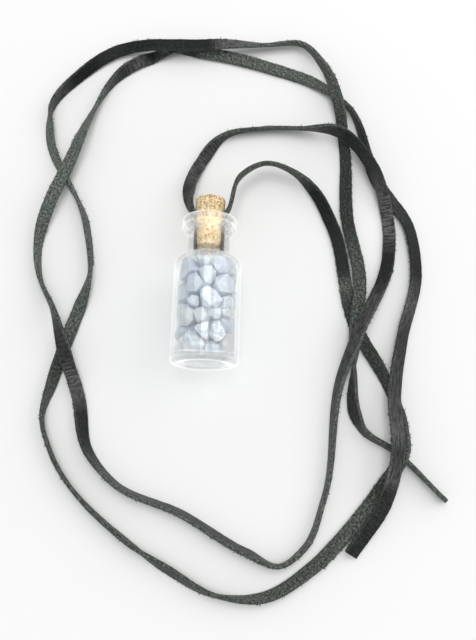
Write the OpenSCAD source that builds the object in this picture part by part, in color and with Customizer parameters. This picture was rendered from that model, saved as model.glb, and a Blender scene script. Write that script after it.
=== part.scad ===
// Glass vial pendant: a small corked vial of stone chips on a flat leather lace.
// The vial lies on its side on a flat surface (z = 0). Its axis runs along Y, from the base (-Y)
// to the stopper (+Y). The origin is below the middle of vial and stopper. All sizes are in mm.

/* [Vial] */
// Outside diameter of the glass body
vial_d = 17; // [15:0.5:20]
// Length of the glass from its base to the rim
vial_len = 38.3; // [35:0.1:44]
// Height of the shoulder above the base
shoulder_h = 27.5; // [24:0.1:28]
// Thickness of the glass wall
wall = 0.9; // [0.7:0.05:1.2]
// Thickness of the glass floor
floor_t = 1.6; // [1.2:0.1:2.4]
// Rounding of the edge of the base
base_round = 1.2; // [0.8:0.1:1.5]
// Rounding of the shoulder
shoulder_round = 2; // [1.4:0.1:2.6]
// Diameter of the pushed-up middle of the base
punt_d = 9.5; // [7:0.5:11]
// Height of the pushed-up middle of the base
punt_h = 0.4; // [0.2:0.1:0.8]

/* [Neck and lip] */
// Outside diameter of the neck
neck_d = 10.6; // [10.2:0.1:11]
// Diameter of the bore that takes the stopper
bore_d = 8.2; // [8:0.1:8.4]
// Outside diameter of the lip, over its two beads
lip_d = 13.9; // [13.4:0.1:14.4]
// Thickness of each bead of the lip
bead_t = 1.9; // [1.8:0.1:2.3]
// Distance between the middles of the two beads
bead_pitch = 1.9; // [1.8:0.1:2.4]
// Depth of the groove between the two beads
groove_depth = 0.55; // [0.3:0.05:0.7]
// Rounding of the inner edge of the rim
mouth_round = 1; // [0.8:0.1:1.2]
// Rounding where the neck meets the shoulder
neck_fillet = 1.1; // [0.6:0.1:1.3]

/* [Cork] */
// Diameter of the cork at its outer end
cork_top_d = 7.8; // [7.6:0.05:7.9]
// Diameter of the cork at its inner end
cork_end_d = 6.9; // [6.8:0.05:7.1]
// Length of cork that stands out of the rim
cork_out = 5.4; // [4:0.1:6]
// Length of cork inside the neck
cork_in = 7.8; // [7:0.1:8.6]
// Bevel at both ends of the cork
cork_bevel = 0.25; // [0.1:0.05:0.4]
// How far up the cork the lace's dents run past the rim
dent_rise = 2; // [1.8:0.1:2.4]

/* [Lace] */
// Width of the flat lace
lace_w = 3.2; // [2.8:0.1:3.4]
// Thickness of the flat lace
lace_t = 1.1; // [0.9:0.05:1.2]
// Thickness of the lace where the cork pinches it
pinched_t = 0.86; // [0.7:0.02:0.9]
// Gap between the pinched lace and the glass
lace_gap = 0.18; // [0.12:0.02:0.24]
// Gap between the pinched lace and the cork
cork_gap = 0.03; // [0.02:0.01:0.06]
// How far the pinched ends of the lace reach past the cork's inner end
lace_past = 0.4; // [0.1:0.1:0.9]

/* [Stone chips] */
// Gap between one chip and the next
chip_gap = 0.12; // [0.1:0.02:0.3]
// Gap between the chips and the glass
bed_gap = 0.12; // [0.1:0.02:0.3]
// How far the chips swell past their own size, up to the gap to the next one
chip_swell = 1.12; // [1:0.02:1.2]
// How angular the chips are: the share of their radius that a corner may lose
chip_wear = 0.04; // [0:0.02:0.2]

/* [Hidden] */
vial_r = vial_d / 2;
neck_r = neck_d / 2;
bore_r = bore_d / 2;
lip_r = lip_d / 2;
bead_r = bead_t / 2;
punt_r = punt_d / 2;
inner_r = vial_r - wall;
// How far the wall of the round-edged hollow is rounded inside the shoulder and above the floor
inner_shoulder_round = shoulder_round - wall;
inner_base_round = base_round;
whole_len = vial_len + cork_out;
base_y = -whole_len / 2;
rim_y = base_y + vial_len;
// Radius of the sphere that a punt of this width and height is part of
punt_sphere_r = (punt_r * punt_r + punt_h * punt_h) / (2 * punt_h);
// Faces that pass through a surface to cut it cleanly run on this far
over = 1;
$fn = 96;

// The lace in the neck lies between these radii, a curved strip on each side of the cork
pinch_out_r = bore_r - lace_gap;
pinch_in_r = pinch_out_r - pinched_t;
pinch_r = (pinch_out_r + pinch_in_r) / 2;
dent_r = pinch_in_r - cork_gap;
dent_half_w = lace_w / 2 + 0.1;
// The lace leaves the neck where the rim has opened a little
exit_y = rim_y - mouth_round * 0.4;
// Height above the base at which the pinched ends of the lace stop
lace_low_h = vial_len - cork_in - lace_past;
// How much the curved strip stands proud in its middle
pinch_bow = pinch_out_r - sqrt(pinch_out_r * pinch_out_r - lace_w * lace_w / 4);
corner_cut = 0.3;

// The free lace: a row for each point of its route, chosen by hand.
// Columns: x, y, lift of its lowest edge above the surface, roll in degrees.
// Roll 0 lies flat with the smooth side up; 90 and -90 stand on an edge; it runs on as the lace twists.
COL_X = 0;
COL_Y = 1;
COL_LIFT = 2;
COL_ROLL = 3;

LEFT_ROUTE = [
  [-4.9, 19, 6.9, -78], [-6, 26, 4.8, -20], [-2.5, 38, 0, 26], [3, 44.5, 0, 94], [13, 47, 0, 118],
  [23.5, 47, 0.6, 118], [34.5, 44.5, 3.4, 56], [43, 34.5, 3.7, 18], [47.6, 20.5, 0, 8], [47.2, 9, 0.3, 16],
  [38.5, -11.5, 4.6, 34], [34.2, -23, 1.4, 60], [29.8, -53, 0, 88], [25.3, -64, 0, 84], [19.5, -68.3, 0, 91],
  [11.5, -65.5, 0, 70], [-4.5, -57, 0, 72], [-21.5, -50, 0, 79], [-28.2, -42.5, 0, 66],
  [-31.5, -30, 0, 24], [-35.4, -19, 3, -8], [-39.5, -7.5, 2.1, -70], [-44.5, 2, 0, -86],
  [-45.8, 11.5, 0, -106], [-42.2, 24.8, 3.3, -160], [-37.4, 38.8, 3.3, -200], [-33.6, 53, 0, -247],
  [-29.2, 61.3, 0, -276], [-19.4, 69.3, 0, -358], [-11, 71.5, 0, -430], [-3, 71, 0, -510],
  [13.5, 67.4, 0, -530], [30, 61, 0, -562], [36.6, 55.3, 0, -607], [44.9, 31.8, 0, -680],
  [52.8, 19.4, 0, -748], [54.5, 5.5, 0, -750], [50.1, -12, 1, -752], [47.1, -27.5, 3.6, -738],
  [47, -42, 5.6, -740], [44.5, -52.5, 3.2, -726], [36.2, -65.3, 0.4, -744]];

RIGHT_ROUTE = [
  [4.7, 19, 6.9, 96], [7.6, 29.5, 5.6, 99], [15, 34.6, 3.4, 112], [22.3, 32.7, 1.8, 99],
  [28, 27.5, 0.5, 52], [32.4, 19, 0, 26], [38.5, -9, 0, 0], [46, -24, 0, 62], [49.5, -35, 0.8, 72],
  [48.5, -42, 3.6, 20], [44, -49.5, 0.8, 12], [35.8, -60, 0, 16], [26.2, -69.3, 0, 44],
  [16.2, -75.2, 0, 60], [4.5, -75.2, 0, 98], [-7, -69.8, 0, 118], [-17.2, -63.7, 0, 87],
  [-37.4, -43, 0, 104], [-40.2, -35, 0, 101], [-38.6, -26.2, 0, 62], [-34.8, -10.6, 0, 20],
  [-31.4, 3.5, 0, -76], [-33.4, 16.8, 0, -99], [-45.8, 43.6, 0, -50], [-46.2, 52, 0, -84],
  [-39.2, 62.3, 0, -116], [-27.4, 71.3, 0.8, -170], [-16, 71.5, 3.4, -178], [-1, 72, 3.4, -186],
  [14.5, 73.8, 0.4, -235], [24.5, 74, 0.4, -248], [30.1, 66.3, 1.8, -276], [33.7, 55.5, 3, -310],
  [36, 41.5, 0, -308], [36.5, 22, 0, -345], [39.5, 2.5, 1.5, -354], [38.2, -9.5, 2, -366],
  [37.6, -20.5, 0.4, -446], [37.8, -31.6, 0, -494], [39.5, -35.5, 0, -462], [47, -40.5, 0, -450],
  [59.4, -52.2, 0, -436]];

// The chips: a row for each one, chosen by hand. The upper ones come first, the lower ones next
// and four small ones wedged between the upper ones last.
// Columns: place across and up as shares of the hollow's radius, place along as a share of its
// length, radius as a share of the hollow's radius, and how much longer than wide the chip is.
CHIPS = [
  [-0.57, 0.88, 0.42, 0.42, 1.3], [-0.33, 0.71, 0.64, 0.33, 1.4], [-0.14, 0.97, 0.62, 0.27, 1],
  [0.04, 0.78, 0.70, 0.32, 1.2], [0.53, 0.92, 0.52, 0.46, 0.95], [0.58, 0.71, 0.52, 0.44, 0.8],
  [0.18, 0.56, 0.66, 0.40, 0.9], [-0.38, 0.52, 0.64, 0.21, 0.95], [0.65, 0.53, 0.42, 0.36, 0.95],
  [-0.53, 0.37, 0.44, 0.34, 1.1], [0.34, 0.40, 0.68, 0.20, 1.1], [0.74, 0.30, 0.40, 0.34, 0.95],
  [0.40, 0.22, 0.58, 0.36, 1.2], [-0.56, 0.24, 0.08, 0.40, 1], [-0.05, 0.22, 0.62, 0.27, 1.5],
  [-0.34, 0.11, 0.44, 0.44, 0.9], [0.29, 0.06, 0.42, 0.30, 0.8], [0.73, 0.12, 0.32, 0.40, 1],
  [-0.42, 0.90, -0.42, 0.47, 1], [0.42, 0.88, -0.44, 0.46, 1], [0.02, 0.72, -0.55, 0.44, 1.1],
  [-0.64, 0.66, -0.14, 0.43, 1], [0.60, 0.62, -0.22, 0.43, 1], [-0.28, 0.50, -0.54, 0.46, 1],
  [0.34, 0.46, -0.56, 0.45, 1], [-0.64, 0.44, -0.12, 0.38, 1], [0.10, 0.42, 0.02, 0.40, 1],
  [-0.50, 0.20, -0.52, 0.46, 1.1], [0.10, 0.26, -0.48, 0.46, 1], [0.60, 0.26, -0.42, 0.44, 1],
  [-0.22, 0.05, -0.28, 0.40, 1], [0.34, 0.06, -0.44, 0.42, 1], [0, 0.70, 0, 0.40, 1],
  [0.02, 0.93, 0.08, 0.36, 1], [-0.16, 0.38, 0.60, 0.24, 1.35], [0.70, 0.42, 0.50, 0.26, 0.75],
  [0.86, 0.84, 0.10, 0.26, 1.1], [0.86, 0.58, 0.05, 0.26, 1]];
COL_ACROSS = 0;
COL_ALONG = 1;
COL_UP = 2;
COL_SIZE = 3;
COL_LONG = 4;
CHIP_CORNERS = 48;

CHIP_NAMES = [for (i = [1 : len(CHIPS)]) str("chip_", i)];

// Turns a shape built upwards from the base so that it lies along Y with the base at base_y
module lay_down() {
  translate([0, base_y, vial_r]) rotate([-90, 0, 0]) children();
}

// Half of a round slab with round edges, for turning about the axis
module round_half(r, low, high, low_round, high_round) {
  translate([0, low + low_round]) square([r, high - low - low_round - high_round]);
  translate([0, low]) square([r - low_round, low_round * 2]);
  translate([0, high - high_round * 2]) square([r - high_round, high_round * 2]);
  translate([r - low_round, low + low_round]) circle(low_round);
  translate([r - high_round, high - high_round]) circle(high_round);
}

module bead_half(h) {
  translate([lip_r - bead_r, h]) circle(bead_r);
}

// The rounded step where the neck rises from the shoulder
module neck_fillet_half() {
  difference() {
    translate([neck_r - over, shoulder_h - over]) square([neck_fillet + over, neck_fillet + over]);
    translate([neck_r + neck_fillet, shoulder_h + neck_fillet]) circle(neck_fillet);
  }
}

module glass_half() {
  top_bead_h = vial_len - bead_r;
  low_bead_h = top_bead_h - bead_pitch;
  round_half(vial_r, 0, shoulder_h, base_round, shoulder_round);
  translate([0, shoulder_h - over]) square([neck_r, vial_len - shoulder_h + over]);
  neck_fillet_half();
  translate([0, low_bead_h]) square([lip_r - groove_depth, bead_pitch]);
  translate([0, top_bead_h - over]) square([lip_r - bead_r, bead_r + over]);
  bead_half(top_bead_h);
  bead_half(low_bead_h);
}

module punt_half(h) {
  intersection() {
    translate([0, h + punt_h - punt_sphere_r]) circle(punt_sphere_r, $fn = 360);
    translate([0, h - over]) square([punt_r, punt_h + over * 2]);
  }
}

module hollow_half() {
  difference() {
    round_half(inner_r, floor_t, shoulder_h - wall, inner_base_round, inner_shoulder_round);
    punt_half(floor_t);
  }
  translate([0, shoulder_h - wall - over]) square([bore_r, vial_len - shoulder_h + wall + over * 2]);
  // The rounded inner edge of the rim
  difference() {
    translate([0, vial_len - mouth_round]) square([bore_r + mouth_round, mouth_round + over]);
    translate([bore_r + mouth_round, vial_len - mouth_round]) circle(mouth_round);
  }
}

module bottle() {
  color([0.82, 0.88, 0.9, 0.35]) lay_down() rotate_extrude() intersection() {
    difference() {
      glass_half();
      hollow_half();
      punt_half(0);
    }
    square([vial_d, vial_len * 2]);
  }
}

// The strip of space on both sides of the cork that the lace takes, seen along the neck
module side_strips(in_r, out_r, half_w) {
  difference() {
    intersection() {
      circle(out_r);
      square([out_r * 2 + over, half_w * 2], center = true);
    }
    circle(in_r);
  }
}

module cork() {
  top_r = cork_top_d / 2;
  end_r = cork_end_d / 2;
  cork_len = cork_in + cork_out;
  color([0.76, 0.55, 0.33]) lay_down() translate([0, 0, vial_len - cork_in]) difference() {
    rotate_extrude() polygon([[0, 0], [end_r - cork_bevel, 0], [end_r, cork_bevel],
      [top_r, cork_len - cork_bevel], [top_r - cork_bevel, cork_len], [0, cork_len]]);
    // The two dents that the lace presses into its sides
    translate([0, 0, -over]) linear_extrude(cork_in + dent_rise + over)
      side_strips(dent_r, top_r + over, dent_half_w);
  }
}

// The end of a strand inside the neck, pinched between cork and glass. side is -1 on the left.
module lace_end(side) {
  color([0.09, 0.09, 0.09]) lay_down() translate([0, 0, lace_low_h])
    linear_extrude(exit_y - base_y - lace_low_h) intersection() {
      side_strips(pinch_in_r, pinch_out_r, lace_w / 2);
      translate([side * bore_r, 0]) square(bore_d, center = true);
    }
}

module lace_end_left() {
  lace_end(-1);
}

module lace_end_right() {
  lace_end(1);
}

function unit(v) = v / norm(v);

// Eight corners of a lace's section about its middle. across is the direction of its width and
// face is the direction that its smooth side looks. bow lifts the middle of both faces.
function lace_ring(middle, across, face, thick, bow, cut_w, cut_t) =
  let (w = lace_w / 2, t = thick / 2)
  [for (c = [[w, t - cut_t - bow], [w - cut_w, t], [cut_w - w, t], [-w, t - cut_t - bow],
             [-w, cut_t - t - bow], [cut_w - w, -t], [w - cut_w, -t], [w, cut_t - t - bow]])
    middle + across * c[0] + face * c[1]];

// Height of the middle of a rolled lace above its lowest edge
function half_height(roll) = (lace_w * abs(sin(roll)) + lace_t * abs(cos(roll))) / 2;

function route_point(row) = [row[COL_X], row[COL_Y], row[COL_LIFT] + half_height(row[COL_ROLL])];

// A free strand: one ring in the neck's mouth, then one for each row of its route
function strand_rings(route, side) =
  let (points = concat([[side * pinch_r, exit_y, vial_r]], [for (row = route) route_point(row)]),
       rolls = concat([side * 90], [for (row = route) row[COL_ROLL]]),
       last = len(points) - 1)
  [for (i = [0 : last])
    let (along = i == 0 ? [0, 1, 0] : unit(points[min(i + 1, last)] - points[i - 1]),
         left = unit(cross([0, 0, 1], along)),
         up = cross(along, left),
         across = left * cos(rolls[i]) + up * sin(rolls[i]),
         face = up * cos(rolls[i]) - left * sin(rolls[i]))
    i == 0 ? lace_ring(points[i], across, face, pinched_t, pinch_bow, lace_w / 3, 0.02)
           : lace_ring(points[i], across, face, lace_t, 0, corner_cut, corner_cut)];

module strand(route, side) {
  rings = strand_rings(route, side);
  sides = len(rings[0]);
  last = len(rings) - 1;
  polyhedron(
    points = [for (ring = rings) each ring],
    faces = concat(
      [[for (k = [0 : sides - 1]) k]],
      [for (i = [0 : last - 1], k = [0 : sides - 1])
        let (a = i * sides + k, b = i * sides + (k + 1) % sides)
        each [[a, a + sides, b], [b, a + sides, b + sides]]],
      [[for (k = [sides - 1 : -1 : 0]) last * sides + k]]));
}

module lace_left() {
  color([0.1, 0.1, 0.1]) strand(LEFT_ROUTE, -1);
}

module lace_right() {
  color([0.1, 0.1, 0.1]) strand(RIGHT_ROUTE, 1);
}

// The hollow that the chips fill, about the vial's axis: X across, Y along from the base, Z up.
// It ends below the shoulder, and always below the ends of the lace in the neck.
bed_r = inner_r - bed_gap;
bed_low = floor_t + punt_h + bed_gap;
bed_high = min(shoulder_h - wall, lace_low_h - lace_gap) - bed_gap;
// Past this sum of radius and height a corner would meet the rounded inside of the shoulder
bed_corner = bed_r + bed_high - inner_shoulder_round;
bed_floor_corner = bed_r - bed_low - inner_base_round * 0.6;

function chip_middle(row) = [row[COL_ACROSS] * bed_r, bed_low + row[COL_ALONG] * (bed_high - bed_low),
                             row[COL_UP] * bed_r];
CHIP_MIDDLES = [for (row = CHIPS) chip_middle(row)];

// Directions spread evenly over a sphere, turned by an angle that differs from chip to chip
function spread(k, count, turn) =
  let (y = 1 - (2 * k + 1) / count, r = sqrt(1 - y * y), a = k * 137.508 + turn)
  [r * cos(a), y, r * sin(a)];

// How far one can go from a chip's middle before meeting the glass wall, or the floor or shoulder
function to_wall(p, d) =
  let (a = d[0] * d[0] + d[2] * d[2], b = p[0] * d[0] + p[2] * d[2],
       c = p[0] * p[0] + p[2] * p[2] - bed_r * bed_r)
  (sqrt(b * b - a * c) - b) / a;
function to_ends(p, d) = d[1] > 0 ? (bed_high - p[1]) / d[1] : (bed_low - p[1]) / d[1];

// How far one can go before meeting the plane between this chip and another one
function to_chip(p, d, size, q, other_size) =
  let (gap = norm(q - p), facing = d * (q - p) / gap)
  facing <= 0 ? vial_len
              : (gap / 2 + (size * size - other_size * other_size) / (2 * gap) - chip_gap / 2) / facing;

function chip_reach(i, d) =
  let (p = CHIP_MIDDLES[i], size = CHIPS[i][COL_SIZE] * bed_r, long = size * CHIPS[i][COL_LONG],
       own = chip_swell / norm([d[0] / size, d[1] / long, d[2] / size]))
  min(concat([own, to_wall(p, d), to_ends(p, d)],
    [for (j = [0 : len(CHIPS) - 1]) if (j != i)
      to_chip(p, d, size, CHIP_MIDDLES[j], CHIPS[j][COL_SIZE] * bed_r)]));

// Draws a corner back where it would meet the rounding of the shoulder or of the floor
function corner_sum(p, sign) = norm([p[0], p[2]]) + sign * p[1];
function keep_clear(p, tip, sign, limit) =
  let (from = corner_sum(p, sign), to = corner_sum(tip, sign))
  to <= limit ? tip : p + (tip - p) * (limit - from) / (to - from);

module chip(i) {
  p = CHIP_MIDDLES[i];
  worn = rands(1 - chip_wear, 1, CHIP_CORNERS, 31 + i);
  corners = [for (k = [0 : CHIP_CORNERS - 1])
    let (d = spread(k, CHIP_CORNERS, i * 73),
         tip = p + d * chip_reach(i, d) * worn[k])
    keep_clear(p, keep_clear(p, tip, 1, bed_corner), -1, bed_floor_corner)];
  color([0.66, 0.74, 0.84]) translate([0, base_y, vial_r]) hull()
    polyhedron(points = corners, faces = [for (k = [0 : 3 : CHIP_CORNERS - 3]) [k, k + 1, k + 2]]);
}

bottle();
cork();
lace_end_left();
lace_end_right();
lace_left();
lace_right();
for (i = [0 : len(CHIPS) - 1]) {
  chip(i);
}
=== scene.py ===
# %% [markdown]
# # A corked vial of stone chips on a leather lace
#
# The real thing is a small glass vial, filled with chips of pale blue stone and closed with a
# cork. A flat leather lace is pinched between cork and glass, and two strands of it come out of
# the mouth. It lies on white paper and is seen from above.
#
# The solid model gives the sizes and places. This lesson builds the looks around it: clear glass
# with a real wall, broken stone, cork with pores, and a lace with a smooth and a rough side.

# %% Load the solid model
import math
import random

import bpy
import bmesh
import numpy as np
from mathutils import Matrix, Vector, noise


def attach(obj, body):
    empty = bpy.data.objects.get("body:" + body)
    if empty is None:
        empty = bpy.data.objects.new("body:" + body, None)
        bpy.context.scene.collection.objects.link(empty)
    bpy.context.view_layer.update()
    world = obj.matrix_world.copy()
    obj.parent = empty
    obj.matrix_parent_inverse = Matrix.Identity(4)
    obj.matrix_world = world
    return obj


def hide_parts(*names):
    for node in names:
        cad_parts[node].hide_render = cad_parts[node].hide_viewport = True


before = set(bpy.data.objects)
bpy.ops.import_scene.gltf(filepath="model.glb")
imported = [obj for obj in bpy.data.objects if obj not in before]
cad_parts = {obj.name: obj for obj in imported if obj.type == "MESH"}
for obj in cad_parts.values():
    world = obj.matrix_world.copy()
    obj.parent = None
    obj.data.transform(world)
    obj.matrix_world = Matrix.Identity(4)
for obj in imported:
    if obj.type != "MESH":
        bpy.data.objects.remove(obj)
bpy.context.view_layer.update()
MM = 0.001

# %% [markdown]
# ## The camera
#
# The photograph was taken from almost straight above, close to the object, so the vial's mouth
# and base show a little perspective. A camera could be aimed with a tracking constraint. Plain
# numbers for its place and its turn are easier to read, and they stay put.

# %% Place the camera
camera_data = bpy.data.cameras.new("camera")
camera = bpy.data.objects.new("camera", camera_data)
bpy.context.scene.collection.objects.link(camera)
camera.location = (9.21 * MM, -55.17 * MM, 176.35 * MM)
camera.rotation_euler = (math.radians(15), 0, math.radians(1.56))
camera_data.lens = 39.375
camera_data.clip_start = 0.01
bpy.context.scene.camera = camera
print("camera", [round(v / MM, 1) for v in camera.location])

# %% [markdown]
# ## Writing materials as sums
#
# A material in Blender is a tree of nodes. Making each node and link by hand hides the idea, so
# one small class wraps an output and lets Python's own signs add the Math nodes. Any other node
# comes from one method of the tree.

# %% A wire that sums can be written with
class Wire:
    """One output of a node. Sums of wires add Math nodes."""

    def __init__(self, tree, socket):
        self.tree, self.socket = tree, socket

    def _math(self, operation, first, second):
        return self.tree.add("ShaderNodeMath", {"operation": operation}, {0: first, 1: second})

    def __add__(self, other):
        return self._math("ADD", self, other)

    def __sub__(self, other):
        return self._math("SUBTRACT", self, other)

    def __rsub__(self, other):
        return self._math("SUBTRACT", other, self)

    def __mul__(self, other):
        return self._math("MULTIPLY", self, other)

    def __pow__(self, other):
        return self._math("POWER", self, other)

    def out(self, name):
        """Another output of the same node."""
        return Wire(self.tree, self.socket.node.outputs[name])


# %% A tree of nodes
class Tree:
    """The nodes of one material."""

    def __init__(self, name):
        self.material = bpy.data.materials.new(name)
        self.material.use_nodes = True
        self.nodes = self.material.node_tree.nodes
        self.links = self.material.node_tree.links
        self.nodes.clear()
        self.end = self.nodes.new("ShaderNodeOutputMaterial")

    def add(self, kind, settings=None, inputs=None):
        """Makes a node: first its settings, then the values or wires of its sockets."""
        node = self.nodes.new(kind)
        for key, value in (settings or {}).items():
            setattr(node, key, value)
        for key, value in (inputs or {}).items():
            if isinstance(value, Wire):
                self.links.new(value.socket, node.inputs[key])
            else:
                node.inputs[key].default_value = value
        return Wire(self, next(o for o in node.outputs if o.enabled))

    def finish(self, shader):
        self.links.new(shader.socket, self.end.inputs["Surface"])
        print("material", self.material.name, "nodes", len(self.nodes))
        return self.material

    def millimetres(self):
        """The place on the object, in millimetres."""
        place = self.add("ShaderNodeTexCoord").out("Object")
        return self.vector("SCALE", place, {"Scale": 1 / MM})

    def vector(self, operation, first, inputs=None):
        return self.add("ShaderNodeVectorMath", {"operation": operation}, {0: first, **(inputs or {})})

    def noise(self, place, scale, detail=3, roughness=0.5, stretch=None):
        if stretch:
            place = self.vector("MULTIPLY", place, {1: stretch})
        return self.add("ShaderNodeTexNoise", {}, {"Vector": place, "Scale": scale,
                                                   "Detail": detail, "Roughness": roughness})

    def cells(self, place, scale):
        return self.add("ShaderNodeTexVoronoi", {}, {"Vector": place, "Scale": scale})

    def mask(self, value, low, high):
        """0 below low, 1 above high, and a smooth rise between them."""
        return self.add("ShaderNodeMapRange", {"interpolation_type": "SMOOTHSTEP"},
                        {"Value": value, "From Min": low, "From Max": high})

    def mix(self, fac, first, second):
        """A colour between two others."""
        first, second = [(*c, 1) if isinstance(c, tuple) else c for c in (first, second)]
        return self.add("ShaderNodeMix", {"data_type": "RGBA"}, {0: fac, 6: first, 7: second})

    def bump(self, height, strength, distance):
        return self.add("ShaderNodeBump", {}, {"Height": height, "Strength": strength,
                                               "Distance": distance * MM})

    def attribute(self, name):
        """A number that the mesh stores at each of its points."""
        return self.add("ShaderNodeAttribute", {"attribute_name": name}).out("Fac")


# %% [markdown]
# ## The paper and the light
#
# The photograph is bright and nearly shadowless: white paper in soft daylight. A wide soft panel
# right above gives the long pale streak along the top of the vial. A second one, from the right
# and from beyond, throws the faint shadows to the left. The rest of the light comes evenly from
# all around.

# %% Lay out the paper
paper_reach = 1.5
pale_from, pale_to = 25, 110


def paper_material():
    tree = Tree("paper")
    place = tree.millimetres()
    tone = tree.noise(place, 0.02, 4)
    fibre = tree.noise(place, 1.2, 5, 0.7)
    distance = tree.vector("LENGTH", place).out("Value")
    # Painted shade: the paper is darker near the middle and pales outwards, from pale_from to pale_to mm
    painted_paling = tree.mask(distance, pale_from, pale_to)
    colour = tree.mix(tone * 0.25 + painted_paling * 0.75, (0.83, 0.835, 0.825), (0.90, 0.895, 0.89))
    return tree.finish(tree.add("ShaderNodeBsdfPrincipled", {}, {
        "Base Color": colour, "Roughness": 0.85, "Normal": tree.bump(fibre, 0.12, 0.05)}))


def make_object(name, mesh, material=None):
    piece = bpy.data.objects.new(name, mesh)
    bpy.context.scene.collection.objects.link(piece)
    if material:
        mesh.materials.append(material)
    return piece


paper_mesh = bpy.data.meshes.new("paper")
paper_corners = [(x * paper_reach, y * paper_reach, 0) for x, y in ((-1, -1), (1, -1), (1, 1), (-1, 1))]
paper_mesh.from_pydata(paper_corners, [], [(0, 1, 2, 3)])
paper = make_object("paper", paper_mesh, paper_material())
print("paper laid")


# %% Hang the lights
def add_panel(name, place, size, power, colour):
    """A soft panel that faces the middle of the scene."""
    light = bpy.data.lights.new(name, "AREA")
    light.shape = "RECTANGLE"
    light.size, light.size_y = size
    light.energy = power
    light.color = colour
    panel = bpy.data.objects.new(name, light)
    bpy.context.scene.collection.objects.link(panel)
    panel.location = place
    panel.rotation_euler = (-Vector(place)).to_track_quat("-Z", "Y").to_euler()


add_panel("top_panel", (0.01, 0.06, 0.75), (0.36, 0.7), 2.8, (1, 1, 0.99))
add_panel("side_panel", (0.9, 0.5, 0.75), (1.0, 1.0), 4.0, (1, 0.985, 0.965))
world = bpy.data.worlds.new("daylight")
world.use_nodes = True
sky = world.node_tree.nodes["Background"]
sky.inputs["Color"].default_value = (0.97, 0.985, 1, 1)
sky.inputs["Strength"].default_value = 0.58
bpy.context.scene.world = world
bpy.context.scene.view_settings.view_transform = "Standard"
print("lights hung")

# %% [markdown]
# ## The glass vial
#
# A vial like this is drawn from tube: an even wall, a rounded base with its middle pushed up, a
# round shoulder and a lip of two beads. Glass bends light at both faces of its wall, so the wall
# needs its true thickness. One outline, turned about the vial's axis, gives both faces at once.
# The outline runs from the middle of the base up the outside and down the inside.

# %% Sizes of the vial
vial_d, vial_len, shoulder_h = 17.0, 38.3, 27.5
wall, floor_t, base_round, shoulder_round = 0.9, 1.6, 1.2, 2.0
punt_d, punt_h = 9.5, 0.4
neck_d, bore_d, lip_d = 10.6, 8.2, 13.9
bead_t, bead_pitch, groove_depth = 1.9, 1.9, 0.55
mouth_round, neck_fillet, bore_foot_round = 1.0, 1.1, 0.3
cork_top_d, cork_end_d, cork_out, cork_in = 7.8, 6.9, 5.4, 7.8
base_y = -(vial_len + cork_out) / 2
axis_z = vial_d / 2
rim_y = base_y + vial_len
print("base at", base_y, "rim at", rim_y)


# %% Draw the outline
def arc(middle, radius, start, end, steps):
    """Points (radius, height) along a part of a circle, from one angle to another."""
    angles = [math.radians(a) for a in np.linspace(start, end, steps)]
    return [(middle[0] + radius * math.cos(a), middle[1] + radius * math.sin(a)) for a in angles]


def line(first, last, steps):
    return [tuple(p) for p in np.linspace(first, last, steps)]


def punt(height):
    """The pushed-up middle of the base, from its edge to its middle."""
    radius = (punt_d ** 2 / 4 + punt_h ** 2) / (2 * punt_h)
    reach = math.degrees(math.asin(punt_d / 2 / radius))
    return arc((0, height + punt_h - radius), radius, 90 - reach, 90, 10)


vial_r, neck_r, bore_r, lip_r, bead_r = vial_d / 2, neck_d / 2, bore_d / 2, lip_d / 2, bead_t / 2
inner_r = vial_r - wall
top_bead = vial_len - bead_r
low_bead = top_bead - bead_pitch
groove_dip = math.degrees(math.acos(1 - groove_depth / bead_r))
under_bead = math.degrees(math.acos((neck_r - lip_r + bead_r) / bead_r))
outside = (
    punt(0)[::-1]
    + line((punt_d / 2 + 0.3, 0), (vial_r - base_round - 0.1, 0), 4)
    + arc((vial_r - base_round, base_round), base_round, -90, 0, 10)
    + line((vial_r, base_round + 0.6), (vial_r, shoulder_h - shoulder_round - 0.6), 40)
    + arc((vial_r - shoulder_round, shoulder_h - shoulder_round), shoulder_round, 0, 90, 12)
    + arc((neck_r + neck_fillet, shoulder_h + neck_fillet), neck_fillet, 270, 180, 8)
    + line((neck_r, shoulder_h + neck_fillet + 0.4), (neck_r, low_bead - bead_r - 0.3), 8)
    + arc((lip_r - bead_r, low_bead), bead_r, -min(under_bead, 90), groove_dip, 14)
    + arc((lip_r - bead_r, top_bead), bead_r, -groove_dip, 90, 14))
inside = (
    arc((bore_r + mouth_round, vial_len - mouth_round), mouth_round, 90, 180, 8)
    + line((bore_r, vial_len - mouth_round - 0.5), (bore_r, shoulder_h - wall + bore_foot_round), 20)
    + arc((bore_r + bore_foot_round, shoulder_h - wall + bore_foot_round), bore_foot_round, 180, 270, 4)
    + arc((inner_r - shoulder_round + wall, shoulder_h - shoulder_round), shoulder_round - wall, 90, 0, 8)
    + line((inner_r, shoulder_h - shoulder_round - 0.6), (inner_r, floor_t + base_round + 0.5), 40)
    + arc((inner_r - base_round, floor_t + base_round), base_round, 0, -90, 8)
    + punt(floor_t))
print("outline points", len(outside) + len(inside))


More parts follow.
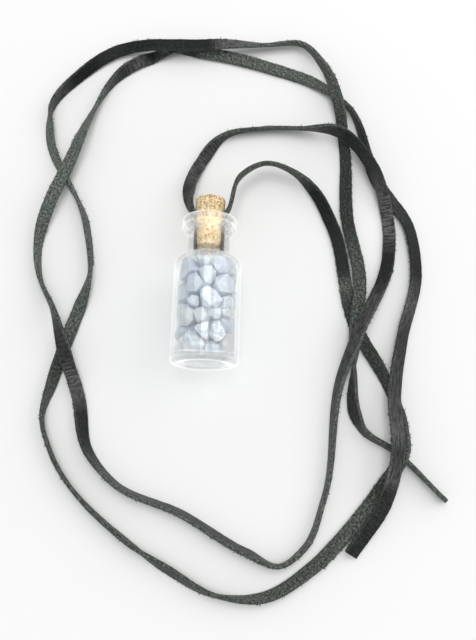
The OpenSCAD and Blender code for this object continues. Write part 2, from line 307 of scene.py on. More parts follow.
# %% Turn it about the axis
def turn(name, outline, sides, wobble):
    """A mesh of revolution about the vial's axis. wobble(radius, height, angle) gives a point's radius."""
    bm = bmesh.new()
    rings = []
    for radius, height in outline:
        if radius < 1e-4:
            rings.append([bm.verts.new((0, base_y + height, axis_z))])
            continue
        ring = []
        for k in range(sides):
            angle = 2 * math.pi * k / sides
            r = wobble(radius, height, angle)
            ring.append(bm.verts.new((r * math.sin(angle), base_y + height, axis_z + r * math.cos(angle))))
        rings.append(ring)
    for low, high in zip(rings, rings[1:]):
        for k in range(sides):
            corners = [low[k % len(low)], low[(k + 1) % len(low)],
                       high[(k + 1) % len(high)], high[k % len(high)]]
            unique = list(dict.fromkeys(corners))
            if len(unique) > 2:
                bm.faces.new(unique)
    bmesh.ops.recalc_face_normals(bm, faces=bm.faces)
    bmesh.ops.scale(bm, vec=(MM, MM, MM), verts=bm.verts)
    mesh = bpy.data.meshes.new(name)
    bm.to_mesh(mesh)
    bm.free()
    mesh.shade_smooth()
    return mesh


def hand_drawn(radius, height, angle):
    """Drawn glass is never quite even: the wall swells and thins by a few hundredths."""
    place = Vector((math.cos(angle) * 1.6, math.sin(angle) * 1.6, height * 0.12 + radius))
    return radius * (1 + 0.0015 * (noise.noise(place) - 0.3))


glass_mesh = turn("glass", outside + inside, 144, hand_drawn)
print("glass faces", len(glass_mesh.polygons))


# %% Say where the glass is thick
# Height above the base in mm and three shares there: how much the glass bends the view, how strongly its
# surface shines, with a painted white glow in that shine, and how strongly its rounded edges glow with
# painted light
GLASS_SHARES = [(0.4, 0.7, 0.6, 0.9), (2.2, 0.5, 0.7, 0.8), (4, 0.08, 0.78, 0), (25, 0.05, 0.78, 0),
                (27.5, 0.35, 0.8, 0.3), (29, 0.15, 0.2, 0.1), (33.5, 0.2, 0.2, 0.1), (35, 0.65, 0.22, 1)]
# The painted glow starts to rise at this radius and is full at the next one, so the base's middle stays
# calm
GLOW_FROM_R, GLOW_FULL_R, GLOW_LEAST = 4.5, 6.5, 0.15
glass_heights, *glass_shares = zip(*GLASS_SHARES)


def store(mesh, name, values):
    attribute = mesh.attributes.new(name, "FLOAT", "POINT")
    attribute.data.foreach_set("value", np.asarray(values, np.float32))


for name, shares in zip(("solid", "film", "painted_glow"), glass_shares):
    values = [np.interp(v.co.y / MM - base_y, glass_heights, shares) for v in glass_mesh.vertices]
    if name == "painted_glow":
        radii = [math.hypot(v.co.x, v.co.z - axis_z * MM) / MM for v in glass_mesh.vertices]
        rises = [(r - GLOW_FROM_R) / (GLOW_FULL_R - GLOW_FROM_R) for r in radii]
        values = [value * min(1, max(GLOW_LEAST, rise)) for value, rise in zip(values, rises)]
    store(glass_mesh, name, values)
print("glass shares stored")


# %% Make the glass clear
def glass_material():
    tree = Tree("clear_glass")
    facing = tree.add("ShaderNodeLayerWeight", {}, {"Blend": 0.5}).out("Facing")
    # Painted light: the thick glass glows white at its rounded edges, more where the surface turns edge-on
    painted_edge_glow = tree.mix(tree.attribute("painted_glow") * (facing * 0.85 + 0.15), (0, 0, 0), (1, 1, 1))
    thick = tree.add("ShaderNodeBsdfPrincipled", {}, {
        "Base Color": (0.99, 1, 0.995, 1), "Roughness": 0.0, "IOR": 1.47, "Transmission Weight": 1.0,
        "Emission Color": painted_edge_glow, "Emission Strength": 0.5})
    # Thin drawn glass hardly bends the view, so there a clear film with a shine does better.
    # All light passes straight through, so that it reaches the chips as through a thin pane.
    through = tree.add("ShaderNodeBsdfTransparent", {}, {"Color": (0.995, 0.998, 0.998, 1)})
    # The shine is a mirror that also glows white: a painted glow on top of its reflection
    shine_and_painted_glow = tree.add("ShaderNodeBsdfPrincipled", {}, {
        "Base Color": (1, 1, 1, 1), "Metallic": 1.0, "Roughness": 0.015,
        "Emission Color": (1, 1, 1, 1), "Emission Strength": 0.62})
    shadow = tree.add("ShaderNodeLightPath").out("Is Shadow Ray")
    gloss = (facing ** 2 * 0.35 + 0.045) * tree.attribute("film") * (1 - shadow)
    thin = tree.add("ShaderNodeMixShader", {}, {0: gloss, 1: through, 2: shine_and_painted_glow})
    solid = tree.attribute("solid")
    return tree.finish(tree.add("ShaderNodeMixShader", {}, {0: solid * (1 - shadow), 1: thin, 2: thick}))


vial = make_object("vial_glass", glass_mesh, glass_material())
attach(vial, "vial")
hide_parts("bottle")

# %% [markdown]
# ## The stone chips
#
# The chips are broken, tumbled a little and packed at random. The solid model already holds a
# convex lump for each one, in its own place, so the looks start from those lumps. Fewer corners
# give the broad broken faces of real chips, and they are set a little further out, to fill the
# room that the missing ones leave. Worn edges and a fine unevenness follow.

# %% Break the lumps into chips
corner_spread, edge_wear, swell, flat_within, sharp_from = 1.06, 0.04, 0.04, 11, 22
druse_spacing, plain_spacing = 0.2, 0.3
broken_depth, grit_depth, crust_depth = 0.1, 0.03, 0.3
# From this share of crystal crust on, a chip is shaded as flat crystal faces
CRYSTAL_SHARE = 0.7


def far_corners(points, count):
    """A few corners of the lump that lie far from each other."""
    chosen = [max(points, key=lambda p: p.length)]
    while len(chosen) < count:
        chosen.append(max(points, key=lambda p: min((p - c).length for c in chosen)))
    return chosen


def chip_mesh(node, seed, corners, druse):
    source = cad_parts[node].data
    points = [v.co / MM for v in source.vertices]
    middle = sum(points, Vector()) / len(points)
    bm = bmesh.new()
    for p in far_corners([p - middle for p in points], corners):
        bm.verts.new(p * corner_spread)
    hull = bmesh.ops.convex_hull(bm, input=bm.verts)
    spare = {g for g in hull["geom_interior"] + hull["geom_unused"] if isinstance(g, bmesh.types.BMVert)}
    bmesh.ops.delete(bm, geom=list(spare), context="VERTS")
    bmesh.ops.dissolve_limit(bm, angle_limit=math.radians(flat_within), verts=bm.verts, edges=bm.edges)
    bmesh.ops.bevel(bm, geom=bm.edges[:], offset=edge_wear, segments=1, profile=0.5, affect="EDGES")
    bmesh.ops.triangulate(bm, faces=bm.faces)
    for _ in range(4):
        longest = druse_spacing if druse else plain_spacing
        long_edges = [e for e in bm.edges if e.calc_length() > longest]
        bmesh.ops.subdivide_edges(bm, edges=long_edges, cuts=1, use_grid_fill=True)
        bmesh.ops.triangulate(bm, faces=bm.faces)
    for v in bm.verts:
        away = v.co.normalized()
        broken = noise.noise(v.co * 0.8 + Vector((seed * 7, 0, 0)))
        grit = noise.noise(v.co * 3.1 + Vector((0, seed * 5, 0)))
        # A druse is a crust of tiny crystals: each cell of the noise has its own point
        crust = noise.voronoi(v.co * 2.2 + Vector((seed, 0, 0)))[0][0] if druse else 0
        sunk = max(0, broken_depth * broken + grit_depth * grit + crust_depth * druse * crust)
        v.co -= away * (sunk - swell)
    for v in bm.verts:
        v.co = (v.co + middle) * MM
    bmesh.ops.recalc_face_normals(bm, faces=bm.faces)
    mesh = bpy.data.meshes.new(node)
    bm.to_mesh(mesh)
    bm.free()
    mesh.shade_smooth()
    if druse < CRYSTAL_SHARE:
        mesh.set_sharp_from_angle(angle=math.radians(sharp_from))
    else:
        mesh.shade_flat()
    return mesh


# %% [markdown]
# Most chips are a cloudy grey-blue. A few are nearly white, some are deeper blue, some carry a
# brown stain and a few a crust of crystals. Each chip holds those four shares as attributes of
# its mesh, so one material serves them all.

# %% Give each chip its own tint
# Shares of white, deep blue, brown stain and crystal crust, for the chips that differ from the rest
CHIP_TINTS = {
    1: (0.1, 0.3, 0, 0), 2: (0.1, 0.4, 0, 0), 3: (0.2, 0.3, 0.2, 0.2), 4: (0.1, 0.1, 0, 0),
    5: (0.3, 0.2, 0, 0), 6: (0.3, 0.2, 0, 0), 7: (0.35, 0, 0.1, 0.3), 8: (0.5, 0.2, 0, 0),
    9: (0.4, 0.3, 0, 0.5), 10: (0, 0.3, 0.6, 0), 11: (0.4, 0.2, 0.1, 0.3), 12: (0, 0.5, 0.1, 0),
    # Chip 14's deep blue is partly its own colour and partly painted shade
    13: (0.5, 0.1, 0.1, 1), 14: (0, 0.9, 0, 0), 15: (0.4, 0.2, 0.2, 0.8), 16: (0.3, 0.2, 0.5, 0.5),
    17: (0.2, 0.5, 0.2, 0), 18: (0.1, 0.3, 0.8, 0), 35: (0, 0.4, 0.5, 0), 36: (0.3, 0.1, 0.6, 0),
    37: (0.1, 0, 0.9, 0), 38: (0.4, 0, 0.5, 0)}
USUAL_TINT = (0.2, 0.3, 0.1, 0)
FEWEST_CORNERS = 15


def chip_material():
    tree = Tree("blue_stone")
    place = tree.millimetres()
    cloud = tree.noise(place, 0.35, 4, 0.6)
    vein = tree.noise(place, 0.9, 6, 0.65)
    speck = tree.noise(place, 4.0, 3)
    crystal = tree.cells(place, 1.6)
    white = tree.attribute("white")
    deep = tree.attribute("deep")
    stain = tree.attribute("stain")
    druse = tree.attribute("druse")
    blue = tree.mix(tree.mask(cloud, 0.35, 0.65), (0.41, 0.465, 0.53), (0.50, 0.555, 0.615))
    blue = tree.mix(deep * 0.6, blue, (0.33, 0.38, 0.46))
    milky = tree.mask(vein + white * 0.3, 0.56, 0.76)
    colour = tree.mix(milky * 0.8, blue, (0.62, 0.67, 0.71))
    rust = tree.mask(vein + stain * 0.2, 0.52, 0.66) * stain
    colour = tree.mix(rust * 0.7, colour, (0.52, 0.48, 0.41))
    # Painted glints: white on the crystal cells of a crust. Painted shade: darker towards the cells'
    # borders, between the crystals
    painted_glint = tree.mask(crystal.out("Color"), 0.4, 0.7)
    colour = tree.mix(painted_glint * druse * 0.8, colour, (0.93, 0.95, 0.96))
    dark = tree.mask(crystal, 0.35, 0.6) * druse
    colour = tree.mix(dark * 0.7, colour, (0.36, 0.41, 0.47))
    relief = speck * 0.4 + crystal * (druse + 0.2)
    return tree.finish(tree.add("ShaderNodeBsdfPrincipled", {}, {
        "Base Color": colour, "Roughness": tree.mask(speck, 0.2, 0.8) * 0.3 + 0.3, "IOR": 1.5,
        "Subsurface Weight": 0.12, "Subsurface Radius": (1.0, 1.1, 1.2), "Subsurface Scale": 1.0 * MM,
        # The chips glow faintly in their own colour: painted light that lifts them and the gaps between
        # them
        "Emission Color": colour, "Emission Strength": 0.11,
        "Normal": tree.bump(relief, 0.5, 0.15)}))


stone = chip_material()
chip_nodes = sorted((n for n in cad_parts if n.startswith("chip_")), key=lambda n: int(n[5:]))
for number, node in enumerate(chip_nodes, 1):
    shares = CHIP_TINTS.get(number, USUAL_TINT)
    mesh = chip_mesh(node, number, FEWEST_CORNERS + number % 4, shares[3])
    for name, share in zip(("white", "deep", "stain", "druse"), shares):
        store(mesh, name, [share] * len(mesh.vertices))
    chip = make_object("stone_" + str(number), mesh, stone)
    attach(chip, "vial")
    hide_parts(node)
print("chips", len(chip_nodes), "faces of the last", len(mesh.polygons))

# %% [markdown]
# ## The cork
#
# Natural cork is honey brown, with dark pores that run as short slits and pits. The stopper is
# tapered and pressed in at both sides, where the lace passes. It could be a cone with a texture.
# A finely divided surface lets the pores be real pits, which catch the light at the edge.

# %% Shape the cork
dent_r, dent_half_w, dent_end = 3.03, 1.7, cork_in + 2.0
dent_blend, dent_fade, cork_round = 0.12, 0.6, 0.3
pore_depth, crumb_depth, pit_depth, end_crumb_depth = 0.55, 0.04, 0.5, 0.05
cork_len = cork_in + cork_out
cork_foot = vial_len - cork_in


def cork_radius(height):
    end, top = cork_end_d / 2, cork_top_d / 2
    return end + (top - end) * min(1, max(0, height / cork_len))


def cork_surface(radius, height, angle):
    """The radius at a point of the cork's outline, with the lace's dents and the pores."""
    up = height - cork_foot
    depth = max(0, cork_radius(up) - dent_r)
    # angle 0 is straight up, and the dents face left and right
    off_side = abs(math.cos(angle)) * radius
    inside_dent = min(1, max(0, (dent_half_w + dent_blend - off_side) / (2 * dent_blend)))
    below_end = min(1, max(0, (dent_end - up) / dent_fade))
    rim_share = min(1, radius / cork_radius(up)) ** 6
    place = Vector((math.sin(angle) * radius, height, math.cos(angle) * radius))
    slit = Vector((place.x * 1.1, place.y * 1.9, place.z * 1.1)) + Vector((3, 9, 1))
    pore = max(0, noise.noise(slit) - 0.32)
    crumb = noise.noise(place * 3.4)
    pits = pore_depth * pore + crumb_depth * (crumb + 0.4)
    return radius - depth * inside_dent * below_end * rim_share - rim_share * pits


cork_outline = (
    line((0, cork_foot), (cork_radius(0) - cork_round, cork_foot), 8)
    + arc((cork_radius(0) - cork_round, cork_foot + cork_round), cork_round, -90, -10, 4)
    + [(cork_radius(h), cork_foot + h) for h in np.linspace(0.4, cork_len - 0.4, 70)]
    + arc((cork_radius(cork_len) - cork_round, cork_foot + cork_len - cork_round), cork_round, 10, 90, 4)
    + line((cork_radius(cork_len) - 0.45, cork_foot + cork_len), (0, cork_foot + cork_len), 16))
cork_mesh = turn("cork", cork_outline, 128, cork_surface)
end_y = (rim_y + cork_out) * MM
for v in cork_mesh.vertices:
    if v.co.y > end_y - 0.05 * MM:
        # Pits in the flat end
        place = Vector((v.co.x, 0, v.co.z)) / MM
        pit = max(0, noise.noise(place * 1.3) - 0.25)
        v.co.y -= (pit_depth * pit + end_crumb_depth * (noise.noise(place * 4) + 0.5)) * MM
print("cork faces", len(cork_mesh.polygons))


# %% Colour the cork
def cork_material():
    tree = Tree("natural_cork")
    place = tree.millimetres()
    cloud = tree.noise(place, 0.5, 4, 0.6)
    grain = tree.noise(place, 1.5, 5, 0.7, (1, 1.5, 1))
    crumb = tree.noise(place, 1.9, 4, 0.75, (1, 1.2, 1))
    pores = tree.noise(place, 1.1, 4, 0.6, (1, 1.6, 1))
    colour = tree.mix(tree.mask(cloud, 0.3, 0.7), (0.74, 0.53, 0.27), (0.86, 0.70, 0.42))
    colour = tree.mix(tree.mask(grain, 0.53, 0.58), colour, (0.97, 0.88, 0.66))
    speck = tree.mask(crumb, 0.52, 0.55)
    colour = tree.mix(speck * 0.9, colour, (0.36, 0.18, 0.05))
    dark = tree.mask(pores, 0.62, 0.67)
    colour = tree.mix(dark * 0.9, colour, (0.20, 0.10, 0.04))
    return tree.finish(tree.add("ShaderNodeBsdfPrincipled", {}, {
        "Base Color": colour, "Roughness": 0.82,
        "Normal": tree.bump(grain - speck * 0.5 - dark, 0.5, 0.15)}))


cork_piece = make_object("cork_stopper", cork_mesh, cork_material())
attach(cork_piece, "stopper")
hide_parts("cork")

# %% [markdown]
# ## The route of the lace
#
# The lace is one flat strip of leather, 3.2 mm wide and 1.1 mm thick. It is too stiff to lie
# flat all the way, so it twists: here on its face, there on its edge. The solid model gives a
# row for each point of the route: where it is, how high its lowest edge lies above the paper,
# and how far it has rolled. A smooth curve through the rows gives the strip its flow.

# %% The rows of the route
# x, y and lift in mm, and roll in degrees, as in the solid model
LEFT_ROUTE = [
    (-4.9, 19, 6.9, -78), (-6, 26, 4.8, -20), (-2.5, 38, 0, 26), (3, 44.5, 0, 94), (13, 47, 0, 118),
    (23.5, 47, 0.6, 118), (34.5, 44.5, 3.4, 56), (43, 34.5, 3.7, 18), (47.6, 20.5, 0, 8),
    (47.2, 9, 0.3, 16), (38.5, -11.5, 4.6, 34), (34.2, -23, 1.4, 60), (29.8, -53, 0, 88),
    (25.3, -64, 0, 84), (19.5, -68.3, 0, 91),
    (11.5, -65.5, 0, 70), (-4.5, -57, 0, 72), (-21.5, -50, 0, 79), (-28.2, -42.5, 0, 66),
    (-31.5, -30, 0, 24), (-35.4, -19, 3, -8), (-39.5, -7.5, 2.1, -70), (-44.5, 2, 0, -86),
    (-45.8, 11.5, 0, -106), (-42.2, 24.8, 3.3, -160), (-37.4, 38.8, 3.3, -200), (-33.6, 53, 0, -247),
    (-29.2, 61.3, 0, -276), (-19.4, 69.3, 0, -358), (-11, 71.5, 0, -430), (-3, 71, 0, -510),
    (13.5, 67.4, 0, -530), (30, 61, 0, -562), (36.6, 55.3, 0, -607), (44.9, 31.8, 0, -680),
    (52.8, 19.4, 0, -748), (54.5, 5.5, 0, -750), (50.1, -12, 1, -752), (47.1, -27.5, 3.6, -738),
    (47, -42, 5.6, -740), (44.5, -52.5, 3.2, -726), (36.2, -65.3, 0.4, -744)]
RIGHT_ROUTE = [
    (4.7, 19, 6.9, 96), (7.6, 29.5, 5.6, 99), (15, 34.6, 3.4, 112), (22.3, 32.7, 1.8, 99),
    (28, 27.5, 0.5, 52), (32.4, 19, 0, 26), (38.5, -9, 0, 0), (46, -24, 0, 62), (49.5, -35, 0.8, 72),
    (48.5, -42, 3.6, 20), (44, -49.5, 0.8, 12), (35.8, -60, 0, 16), (26.2, -69.3, 0, 44),
    (16.2, -75.2, 0, 60), (4.5, -75.2, 0, 98), (-7, -69.8, 0, 118), (-17.2, -63.7, 0, 87),
    (-37.4, -43, 0, 104), (-40.2, -35, 0, 101), (-38.6, -26.2, 0, 62), (-34.8, -10.6, 0, 20),
    (-31.4, 3.5, 0, -76), (-33.4, 16.8, 0, -99), (-45.8, 43.6, 0, -50), (-46.2, 52, 0, -84),
    (-39.2, 62.3, 0, -116), (-27.4, 71.3, 0.8, -170), (-16, 71.5, 3.4, -178), (-1, 72, 3.4, -186),
    (14.5, 73.8, 0.4, -235), (24.5, 74, 0.4, -248), (30.1, 66.3, 1.8, -276), (33.7, 55.5, 3, -310),
    (36, 41.5, 0, -308), (36.5, 22, 0, -345), (39.5, 2.5, 1.5, -354), (38.2, -9.5, 2, -366),
    (37.6, -20.5, 0.4, -446), (37.8, -31.6, 0, -494), (39.5, -35.5, 0, -462), (47, -40.5, 0, -450),
    (59.4, -52.2, 0, -436)]
lace_w, lace_t, pinched_t, pinch_r = 3.2, 1.1, 0.86, 3.49
exit_y = rim_y - 0.4
RING_SPACING = 0.36
print("rows", len(LEFT_ROUTE), len(RIGHT_ROUTE))


# %% Run a smooth curve through the rows
def slopes(steps, values, calm):
    """The slope at each row. calm keeps a value between its neighbours, without overshoot."""
    rises = np.diff(values) / np.diff(steps)
    result = np.zeros(len(values))
    gaps = np.diff(steps)
    result[1:-1] = (rises[:-1] * gaps[1:] + rises[1:] * gaps[:-1]) / (gaps[:-1] + gaps[1:])
    result[0], result[-1] = rises[0], rises[-1]
    if calm:
        for i in range(1, len(values) - 1):
            if rises[i - 1] * rises[i] <= 0:
                result[i] = 0
            else:
                limit = 2.4 * min(abs(rises[i - 1]), abs(rises[i]))
                result[i] = math.copysign(min(abs(result[i]), limit), rises[i])
    return result


def flow(steps, values, at, calm=False):
    """The values between the rows, on a smooth curve."""
    slope = slopes(steps, values, calm)
    i = np.clip(np.searchsorted(steps, at, side="right") - 1, 0, len(steps) - 2)
    gap = steps[i + 1] - steps[i]
    t = (at - steps[i]) / gap
    return ((1 + 2 * t) * (1 - t) ** 2 * values[i] + t * (1 - t) ** 2 * gap * slope[i]
            + t * t * (3 - 2 * t) * values[i + 1] + t * t * (t - 1) * gap * slope[i + 1])


def lace_line(route, side):
    """Middle points and rolls along a strand, from the mouth to its end."""
    rows = np.array([(side * pinch_r, exit_y, axis_z - lace_w / 2, side * 90)] + route, float)
    steps = np.concatenate([[0], np.cumsum(np.linalg.norm(np.diff(rows[:, :2], axis=0), axis=1))])
    at = np.linspace(0, steps[-1], int(steps[-1] / RING_SPACING))
    x, y = flow(steps, rows[:, 0], at), flow(steps, rows[:, 1], at)
    lift = np.maximum(flow(steps, rows[:, 2], at, True), 0)
    roll = flow(steps, rows[:, 3], at, True)
    turned = np.radians(roll)
    half = (lace_w * np.abs(np.sin(turned)) + lace_t * np.abs(np.cos(turned))) / 2
    return np.stack([x, y, lift + half], axis=1), roll


def run_along(middle):
    """The distance along a strand at each of its middle points."""
    return np.concatenate([[0], np.cumsum(np.linalg.norm(np.diff(middle, axis=0), axis=1))])


for route, side in ((LEFT_ROUTE, -1), (RIGHT_ROUTE, 1)):
    middle, roll = lace_line(route, side)
    print("strand length", round(float(run_along(middle)[-1]), 1), "mm")

# %% [markdown]
# ## The strip itself
#
# Leather cut from a hide has a smooth side, the grain, and a rough side, the suede. Its cut edges
# are a little ragged. The strip is made by hand, ring by ring, because a curve with a bevel can't
# hold two kinds of side. Each ring is a rounded rectangle, and a gentle unevenness in its points
# makes the creases of the grain, the nap of the suede and the waviness of the cut.

# %% The rings of a strip
FACE_STEPS, EDGE_STEPS = 9, 3
RING_SIZE = 2 * (FACE_STEPS + EDGE_STEPS)
face_corner, edge_corner = 0.16, 0.14
# How deep the unevenness goes on the grain, on the suede and on the cut edges, in mm
fold_depth, pebble_depth = 0.07, 0.02
nap_depth, fine_nap_depth = 0.05, 0.03
ragged_depth, fine_ragged_depth = 0.15, 0.09
width_sway = 0.05
TUFTS, TUFT_CLUMPS, CLUMP_SPREAD = 3000, 45, 7
tuft_lengths, long_tuft, tuft_widths = (0.3, 0.6), 0.25, (0.09, 0.17)
lowest_tuft = 0.02


def section_points(thick, bow):
    """Points (across, up, side) around a section: side 0 is the grain, 1 the suede, 2 a cut edge."""
    w, t = lace_w / 2, thick / 2
    face = np.linspace(w - face_corner, -w + face_corner, FACE_STEPS)
    edge = np.linspace(t - edge_corner, edge_corner - t, EDGE_STEPS)
    sag = bow * (1 - (face / w) ** 2) - bow
    points = [(a, t + s, 0) for a, s in zip(face, sag)]
    points += [(-w, e - bow, 2) for e in edge]
    points += [(a, s - t, 1) for a, s in zip(face[::-1], sag[::-1])]
    points += [(w, e - bow, 2) for e in edge[::-1]]
    return points


def add_tufts(verts, faces, strip, middle, frames, thick, count, seed):
    """Short tapered tufts of fibre that stand off the cut edges."""
    chance = random.Random(seed)
    clumps = [int(chance.uniform(0.05, 0.95) * len(middle)) for _ in range(TUFT_CLUMPS)]
    for number in range(count):
        # Every third tuft stands alone and the others crowd together
        i = chance.randrange(4, len(middle) - 2)
        if number % 3:
            i = int(min(max(chance.gauss(chance.choice(clumps), CLUMP_SPREAD), 4), len(middle) - 2))
        across, face = frames[i]
        along = np.cross(across, face)
        way = chance.choice((-1, 1))
        root = middle[i] + across * (way * lace_w * 0.47) + face * (chance.uniform(-0.42, 0.2) * thick[i])
        lean = (across * (way * chance.uniform(0.1, 1)) + face * chance.uniform(-1, 0.2)
                + along * chance.uniform(-0.8, 0.8))
        length = chance.uniform(*tuft_lengths) + chance.random() ** 4 * long_tuft
        width = chance.uniform(*tuft_widths)
        curl = (face * chance.uniform(-1, 1) + along * chance.uniform(-1, 1)) * length * 0.3
        first = len(verts)
        for at, thin in ((0, 1), (0.6, 0.7)):
            for k in range(3):
                spread = face * math.cos(k * 2.1) + along * math.sin(k * 2.1)
                verts.append(root + lean * (length * at) + curl * at * at + spread * (width * thin))
        verts.append(root + lean * length + curl)
        for k in range(3):
            n = (k + 1) % 3
            faces.append((first + k, first + n, first + 3 + n, first + 3 + k))
            faces.append((first + 3 + k, first + 3 + n, first + 6))
        for v in verts[first:]:
            v[2] = max(v[2], lowest_tuft)
            strip.append(strip[i * RING_SIZE])


def strip_mesh(name, middle, roll, thick, bow, seed, sheen_and_wear, creases, forward=None, tufts=0):
    """A strip along the middle points.

    thick and bow are given for each ring, and sheen_and_wear (wear and painted sheen) and creases as rows
    of (run, share).
    """
    along = np.gradient(middle, axis=0)
    if forward is not None:
        along[0] = forward
    along /= np.linalg.norm(along, axis=1)[:, None]
    run = run_along(middle)
    verts, strip, frames = [], [], []
    for i in range(len(middle)):
        left = np.cross((0, 0, 1), along[i])
        left /= np.linalg.norm(left)
        up = np.cross(along[i], left)
        turned = math.radians(roll[i])
        across = left * math.cos(turned) + up * math.sin(turned)
        face = up * math.cos(turned) - left * math.sin(turned)
        wave = 1 + width_sway * noise.noise(Vector((run[i] * 0.16, seed, 0)))
        frames.append((across, face))
        for a, b, side in section_points(thick[i], bow[i]):
            spot = Vector((run[i], a * 1.2, seed + side * 11))
            crease = noise.noise(Vector((run[i] * 0.55, a * 0.35, seed)))
            grit = noise.noise(spot * 1.7)
            if side == 0:
                b -= fold_depth * max(0, crease) + pebble_depth * grit
            elif side == 1:
                b += nap_depth * grit + fine_nap_depth * noise.noise(spot * 3.2)
            else:
                ragged = ragged_depth * grit + fine_ragged_depth * noise.noise(spot * 3.2)
                a += math.copysign(ragged, a)
            verts.append(middle[i] + across * (a * wave) + face * b)
            # On a cut edge the place across the strip goes on around the corner
            around = a + math.copysign(thick[i] / 2 - b, a) if side == 2 else a
            sheen_and_wear_share, folded = (np.interp(run[i], *zip(*rows)) for rows in (sheen_and_wear, creases))
            strip.append((run[i], around, sheen_and_wear_share, folded))
    faces = []
    for i in range(len(middle) - 1):
        here, next_ring = i * RING_SIZE, (i + 1) * RING_SIZE
        for k in range(RING_SIZE):
            n = (k + 1) % RING_SIZE
            faces.append((here + k, next_ring + k, next_ring + n, here + n))
    faces.append(tuple(range(RING_SIZE)))
    faces.append(tuple((len(middle) - 1) * RING_SIZE + k for k in reversed(range(RING_SIZE))))
    add_tufts(verts, faces, strip, middle, frames, thick, tufts, seed)
    mesh = bpy.data.meshes.new(name)
    mesh.from_pydata([tuple(v * MM) for v in verts], [], faces)
    for index, key in enumerate(("along", "across", "sheen_and_wear", "creased")):
        store(mesh, key, [s[index] for s in strip])
    mesh.shade_smooth()
    return mesh, run


# %% [markdown]
# ## The leather
#
# The grain side is black with a low shine, creased across where it was bent hard. The suede side
# is a dull green-grey, and so are the cut edges. Both are patterned along the strip itself, with
# the attributes that its mesh carries, so the pattern follows every twist.

# %% Dye the leather
def strip_place(tree):
    """The place on the strip: along it and across it."""
    along, across = tree.attribute("along"), tree.attribute("across")
    return tree.add("ShaderNodeCombineXYZ", {}, {0: along, 1: across})


def grain_material():
    tree = Tree("leather_grain")
    place = strip_place(tree)
    sheen_and_wear = tree.attribute("sheen_and_wear")
    crease = tree.noise(place, 0.9, 5, 0.6, (2.2, 0.35, 1))
    pebble = tree.cells(place, 3.2)
    cloud = tree.noise(place, 0.5, 4, 0.6)
    colour = tree.mix(cloud, (0.004, 0.005, 0.005), (0.010, 0.011, 0.011))
    # Painted sheen lies where sheen_and_wear is high. It is broken into creases across the strip where it
    # was bent hard, with painted shade in them, and into streaks along it elsewhere
    creased = tree.attribute("creased")
    streak = tree.noise(place, 1.0, 5, 0.65, (0.4, 3.2, 1))
    # Painted highlights: pale specks all over the black grain
    painted_speckle_highlight = tree.mask(tree.noise(place, 1.3, 5, 0.8, (1, 1.6, 1)), 0.52, 0.60)
    colour = tree.mix(painted_speckle_highlight * 0.35, colour, (0.08, 0.08, 0.082))
    crease_shade_and_sheen = tree.mask(crease, 0.44, 0.54) * 0.85 + 0.1
    streaked_sheen = tree.mask(streak, 0.42, 0.58) * 0.65 + 0.15
    colour = tree.mix(sheen_and_wear * (crease_shade_and_sheen * creased + streaked_sheen * (1 - creased)), colour, (0.15, 0.145, 0.15))
    return tree.finish(tree.add("ShaderNodeBsdfPrincipled", {}, {
        "Base Color": colour, "Roughness": cloud * 0.2 + 0.34, "Specular IOR Level": 0.17,
        "Normal": tree.bump(crease * (creased + 0.25) * 1.5 + pebble * 0.5 + streak * 0.5, 0.7, 0.2)}))


def suede_material():
    tree = Tree("leather_suede")
    place = strip_place(tree)
    sheen_and_wear = tree.attribute("sheen_and_wear")
    nap = tree.noise(place, 1.5, 5, 0.8)
    tuft = tree.noise(place, 1.7, 4, 0.8)
    # Paler where sheen_and_wear is high: partly wear, partly painted sheen
    colour = tree.mix(sheen_and_wear, (0.022, 0.026, 0.023), (0.135, 0.150, 0.135))
    pale = tree.mask(nap, 0.48, 0.56)
    colour = tree.mix(pale * (sheen_and_wear * 0.5 + 0.16), colour, (0.31, 0.33, 0.30))
    colour = tree.mix(tree.mask(tuft, 0.49, 0.55) * 0.85, colour, (0.014, 0.017, 0.015))
    return tree.finish(tree.add("ShaderNodeBsdfPrincipled", {}, {
        "Base Color": colour, "Roughness": 0.95, "Specular IOR Level": 0.2, "Sheen Weight": 0.1,
        "Sheen Roughness": 0.5, "Normal": tree.bump(nap + tuft * 0.7, 0.8, 0.18)}))


grain, suede = grain_material(), suede_material()


def dress_strip(mesh, run, swap_at=None):
    """Puts grain on one side, and suede on the other and on the edges. They change over at swap_at."""
    mesh.materials.append(grain)
    mesh.materials.append(suede)
    for index, face in enumerate(mesh.polygons):
        ring, k = divmod(index, RING_SIZE)
        if ring >= len(run) - 1:
            face.material_index = 1
            continue
        on_top = k < FACE_STEPS - 1
        below = FACE_STEPS + EDGE_STEPS <= k < 2 * FACE_STEPS + EDGE_STEPS - 1
        swapped = swap_at is not None and run[ring] > swap_at
        face.material_index = 0 if (below if swapped else on_top) else 1


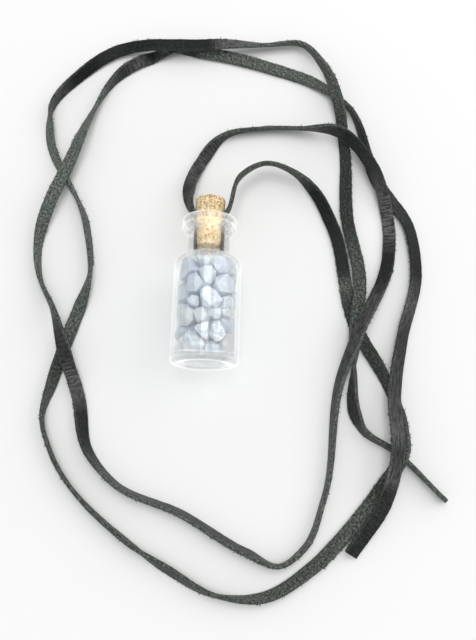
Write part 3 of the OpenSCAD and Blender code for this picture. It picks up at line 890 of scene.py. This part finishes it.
# %% Say where the lace is pale from wear and from painted sheen
# Distance along the strand in mm and how pale it is there
LEFT_SHEEN_AND_WEAR = [
    (0, 0.2), (10, 0.2), (16, 0.6), (30, 0.4), (62, 0.5), (68, 0.05), (80, 0), (85, 0.5), (98, 0.8),
    (102, 0.3), (105, 0), (113, 0.1), (119, 0.6), (240, 0.6), (249, 0.08), (256, 0.08), (260, 0.7),
    (266, 0.7), (271, 0.15), (277, 0.3), (287, 0.5), (300, 0.8), (350, 0.7), (362, 0.2), (367, 0.7),
    (371, 0), (384, 0), (388, 0.7), (425, 0.7), (442, 0), (452, 0), (459, 0.6), (472, 0.05), (485, 0),
    (494, 0.8), (504, 0.25), (518, 0.5), (524, 0.6), (529, 1), (534, 0.3), (540, 0.9), (544, 0.1),
    (562, 0.1)]
RIGHT_SHEEN_AND_WEAR = [
    (0, 0.4), (34, 0.4), (39, 0), (62, 0), (67, 0.6), (72, 0.1), (98, 0.2), (110, 0.5), (118, 0.4),
    (124, 0.1), (130, 0.5), (240, 0.4), (252, 0.1), (258, 0.5), (300, 0.8), (325, 0.6), (333, 0.4),
    (338, 0), (380, 0), (384, 0.9), (425, 0.5), (442, 0), (467, 0.05), (475, 0.35), (490, 0.4),
    (540, 0.5)]
# Distance along the strand in mm and how strongly the grain is creased across there
LEFT_CREASES = [
    (12, 0), (16, 0.9), (30, 0.9), (34, 0), (85, 0), (88, 1), (104, 1), (108, 0), (261, 0), (264, 1),
    (275, 1), (279, 0), (350, 0), (354, 0.8), (368, 0.8), (372, 0), (541, 0), (544, 1), (562, 1)]
RIGHT_CREASES = [(328, 0), (331, 0.8), (342, 0.8), (346, 0), (376, 0), (379, 0.5), (388, 0.5), (392, 0)]
# Past this run the right strand shows its grain on the side that was below
RIGHT_SWAP = 64
print("worn places", len(LEFT_SHEEN_AND_WEAR) + len(RIGHT_SHEEN_AND_WEAR))


# %% Lay both strands
STRANDS = [("left", LEFT_ROUTE, -1, None, LEFT_SHEEN_AND_WEAR, LEFT_CREASES),
           ("right", RIGHT_ROUTE, 1, RIGHT_SWAP, RIGHT_SHEEN_AND_WEAR, RIGHT_CREASES)]
pinch_ease, pinch_bow = 5, 0.34
for name, route, side, swap_at, sheen_and_wear, creases in STRANDS:
    middle, roll = lace_line(route, side)
    # The strip swells from its pinched thickness to its full one just outside the mouth
    ease = np.clip(run_along(middle) / pinch_ease, 0, 1)
    ease = ease * ease * (3 - 2 * ease)
    thick = pinched_t + (lace_t - pinched_t) * ease
    mesh, run = strip_mesh("lace_" + name, middle, roll, thick, pinch_bow * (1 - ease), 3 + side,
                           sheen_and_wear, creases, forward=(0, 1, 0), tufts=TUFTS)
    dress_strip(mesh, run, swap_at)
    lace = make_object("strand_" + name, mesh)
    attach(lace, "vial")
    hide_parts("lace_" + name)
    tuple(middle[0] * MM)
    [tuple(p * MM) for p in middle[::2]]
    print("strand", name, "length", round(float(run[-1]), 1), "mm, faces", len(mesh.polygons))

# %% [markdown]
# ## The ends of the lace inside the neck
#
# Each strand ends between cork and glass. There it is squeezed thinner and bent to the round of
# the bore, and its tip shows just below the cork.

# %% Press the ends in beside the cork
lace_past, held_rings = 0.4, 18
NO_SHEEN_OR_WEAR = [(0, 0), (9, 0)]
for name, side in (("left", -1), ("right", 1)):
    ys = np.linspace(exit_y, base_y + cork_foot - lace_past, held_rings)
    middle = np.stack([np.full(held_rings, side * pinch_r), ys, np.full(held_rings, axis_z)], axis=1)
    # The run goes down into the neck, so the roll that keeps the grain outwards changes its sign
    roll = np.full(held_rings, -90.0 * side)
    thick, bow = np.full(held_rings, pinched_t), np.full(held_rings, pinch_bow)
    mesh, run = strip_mesh("lace_end_" + name, middle, roll, thick, bow, 9 + side, NO_SHEEN_OR_WEAR, NO_SHEEN_OR_WEAR)
    dress_strip(mesh, run)
    held = make_object("strand_end_" + name, mesh)
    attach(held, "vial")
    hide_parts("lace_end_" + name)
print("held stretch", round(float(run[-1]), 1), "mm")
